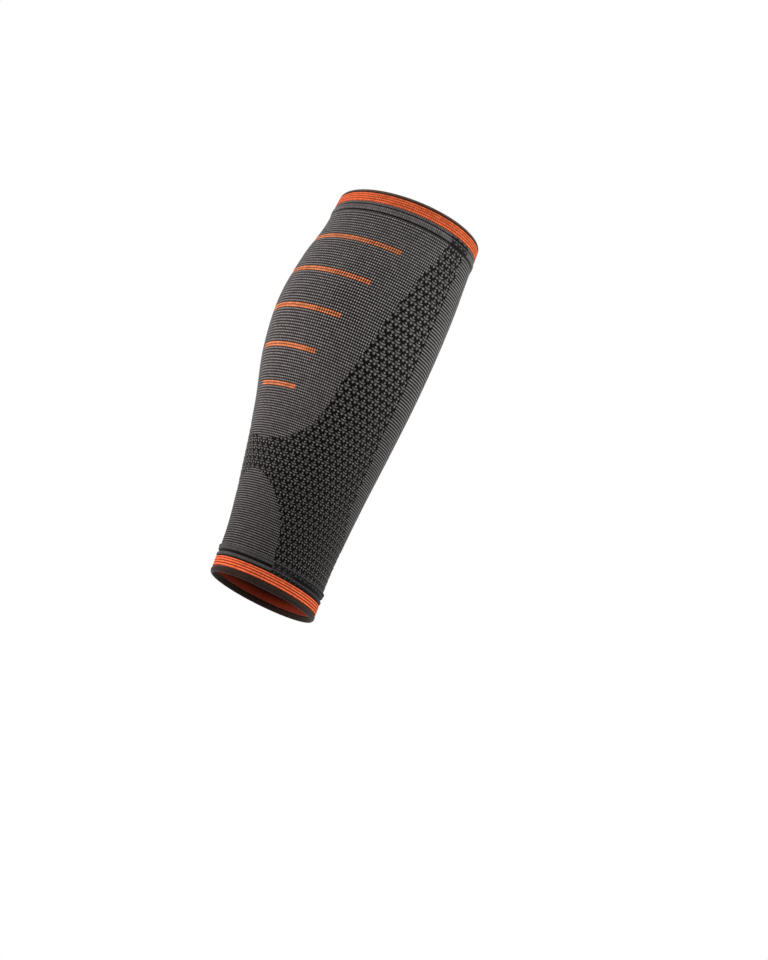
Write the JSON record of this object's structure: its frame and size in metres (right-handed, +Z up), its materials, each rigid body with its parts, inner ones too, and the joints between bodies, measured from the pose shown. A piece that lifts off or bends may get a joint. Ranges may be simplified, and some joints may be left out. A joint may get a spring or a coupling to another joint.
{
  "type": "calf support",
  "caption": "Pull-on knitted calf compression sleeve, a hollow tapered grey tube with honeycomb sides, orange calf bars and banded elastic cuffs.",
  "frame": {"origin": "on the leg's axis, level with the fullest girth of the calf, 198 mm above the bottom edge", "axes": "+Z up the leg towards the knee, +Y to the calf at the back, -Y to the shin at the front, X across the leg"},
  "size_m": [0.1156, 0.1286, 0.2949],
  "materials": {
    "grey_knit": "matte elastic knit, grey loops over dark holes",
    "grey_welt": "matte doubled knit hem",
    "orange_yarn": "matte bright orange yarn with red-brown lines between its rows",
    "dark_edge": "matte dark brown bound edge"
  },
  "bodies": {
    "root": {"sleeve_tube": "grey_knit", "top_welt": "grey_welt", "top_stripe": "orange_yarn", "top_rim": "dark_edge", "bottom_welt": "grey_welt", "bottom_stripe": "orange_yarn", "bottom_rim": "dark_edge", "calf_bar_1": "orange_yarn", "calf_bar_2": "orange_yarn", "calf_bar_3": "orange_yarn", "calf_bar_4": "orange_yarn", "calf_bar_5": "orange_yarn"}
  },
  "joints": []
}
